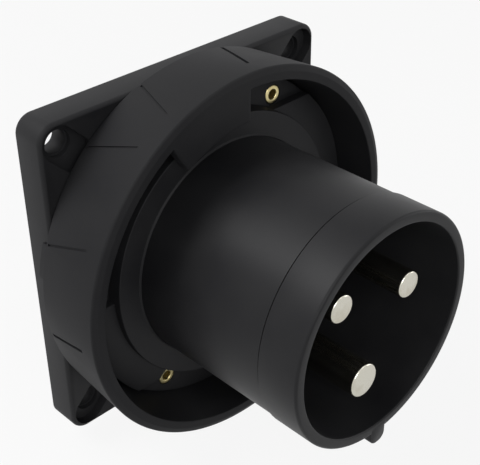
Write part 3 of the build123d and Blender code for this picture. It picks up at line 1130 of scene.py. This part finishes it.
@dataclass
class Studio:
    """Pale floor, soft lights and the camera of the photograph's view."""

    camera_place: Corner = (-0.1746, -0.2107, 0.1689)
    camera_turn: Corner = (57.147, 0.588, -44.262)
    lens: float = 79.58
    sensor_width: float = 36.0
    floor_size: float = 30.0
    floor_gap: float = 0.001
    floor_colour: str = "d2d2d2"
    floor_glow: float = 0.9
    sky_low: float = 0.15
    sky_high: float = 0.02
    sky_start: float = 0.02
    sky_end: float = 0.2
    light_size: Point = (0.5, 0.5)
    light_aim: Corner = (0.0, -0.03, 0.0)
    # Each light's name, its place in metres and its power in watts.
    lights: tuple[tuple[str, Corner, float], ...] = (
        ("key_softbox", (-0.587, 0.339, 0.867), 6.9), ("top_softbox", (0.0, 0.34, 1.046), 0.6),
        ("back_softbox", (-0.232, 0.636, 0.867), 1.4), ("left_softbox", (-0.476, -0.825, 0.55), 4.2),
        ("right_softbox", (0.943, -0.545, 0.153), 1.7), ("front_softbox", (0.435, -0.519, 0.867), 0.8),
        ("side_softbox", (-1.064, 0.0, 0.28), 1.0))

    def camera(self) -> None:
        """Sets up the camera."""
        data = bpy.data.cameras.new("photo_camera")
        data.lens = self.lens
        data.sensor_width = self.sensor_width
        camera = bpy.data.objects.new("photo_camera", data)
        camera.location = self.camera_place
        camera.rotation_euler = [math.radians(angle) for angle in self.camera_turn]
        bpy.context.scene.collection.objects.link(camera)
        bpy.context.scene.camera = camera

    def seen_white(self, tree: bpy.types.NodeTree) -> bpy.types.NodeSocket:
        """Adds the switch that is 1 for the camera, glossy and transmission rays, which see white.

        Args:
            tree: The node tree that gets the switch.

        Returns:
            The switch's output.
        """
        path = add_node(tree, "ShaderNodeLightPath").outputs
        seen = add_node(tree, "ShaderNodeMath", {"operation": "MAXIMUM"}, {
            0: path["Is Camera Ray"], 1: path["Is Glossy Ray"]})
        white = add_node(tree, "ShaderNodeMath", {"operation": "MAXIMUM"}, {
            0: seen.outputs["Value"], 1: path["Is Transmission Ray"]})
        return white.outputs["Value"]

    def floor(self) -> None:
        """Lays the floor just under the part."""
        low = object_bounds()[0][2] - self.floor_gap
        shape = bmesh.new()
        bmesh.ops.create_grid(shape, size=self.floor_size / 2,
                              matrix=Matrix.Translation((0, 0, low)))
        floor = new_object("floor", shape)
        material, tree = blank_material("matt_paper_floor")
        share = add_node(tree, "ShaderNodeMath", {"operation": "MULTIPLY"}, {
            0: self.seen_white(tree), 1: self.floor_glow})
        matt = add_node(tree, "ShaderNodeBsdfDiffuse", None, {"Color": to_linear(self.floor_colour)})
        glow = add_node(tree, "ShaderNodeEmission", None, {"Color": (1, 1, 1, 1), "Strength": 1.0})
        mixed = add_node(tree, "ShaderNodeMixShader", None, {
            0: share.outputs["Value"], 1: matt.outputs["BSDF"], 2: glow.outputs["Emission"]})
        add_node(tree, "ShaderNodeOutputMaterial", None, {"Surface": mixed.outputs["Shader"]})
        floor.data.materials.append(material)
        floor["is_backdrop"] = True

    def sky(self) -> None:
        """Makes a world that lights the part dimly and is white where it is seen."""
        world = bpy.data.worlds.new("studio_room")
        bpy.context.scene.world = world
        world.use_nodes = True
        tree = world.node_tree
        tree.nodes.clear()
        way = add_node(tree, "ShaderNodeTexCoord").outputs["Generated"]
        height = add_node(tree, "ShaderNodeSeparateXYZ", None, {"Vector": way}).outputs["Z"]
        level = add_node(tree, "ShaderNodeMapRange", {"interpolation_type": "SMOOTHSTEP"}, {
            "Value": height, "From Min": self.sky_start, "From Max": self.sky_end,
            "To Min": self.sky_low, "To Max": self.sky_high})
        strength = add_node(tree, "ShaderNodeMath", {"operation": "MAXIMUM"}, {
            0: self.seen_white(tree), 1: level.outputs["Result"]})
        back = add_node(tree, "ShaderNodeBackground", None, {
            "Color": (1, 1, 1, 1), "Strength": strength.outputs["Value"]})
        add_node(tree, "ShaderNodeOutputWorld", None, {"Surface": back.outputs["Background"]})

    def softbox(self, name: str, place: Corner, power: float) -> None:
        """Hangs a soft light that looks at the part.

        Args:
            name: The light's name.
            place: Where it hangs, in metres.
            power: Its power in watts.
        """
        data = bpy.data.lights.new(name, "AREA")
        data.shape = "RECTANGLE"
        data.size, data.size_y = self.light_size
        data.energy = power
        light = bpy.data.objects.new(name, data)
        light.location = place
        aim = Vector(self.light_aim) - Vector(place)
        light.rotation_euler = aim.to_track_quat("-Z", "Y").to_euler()
        bpy.context.scene.collection.objects.link(light)

    def dress(self) -> None:
        """Builds the studio."""
        self.floor()
        self.sky()
        for name, place, power in self.lights:
            self.softbox(name, place, power)
        self.camera()
        bpy.context.scene.view_settings.view_transform = "Standard"


def main() -> None:
    """Builds the part's pieces in order."""
    logging.basicConfig(level=logging.INFO, format="%(name)s: %(message)s")
    finishes = Finishes()
    pattern = RoundPattern()
    FlangeHousing().dress(finishes)
    RingRetainer().dress(finishes, pattern)
    BayonetRing().dress(finishes)
    PinShroud().dress(finishes)
    ContactSet().dress(finishes, pattern)
    Studio().dress()


if __name__ == "__main__":
    main()
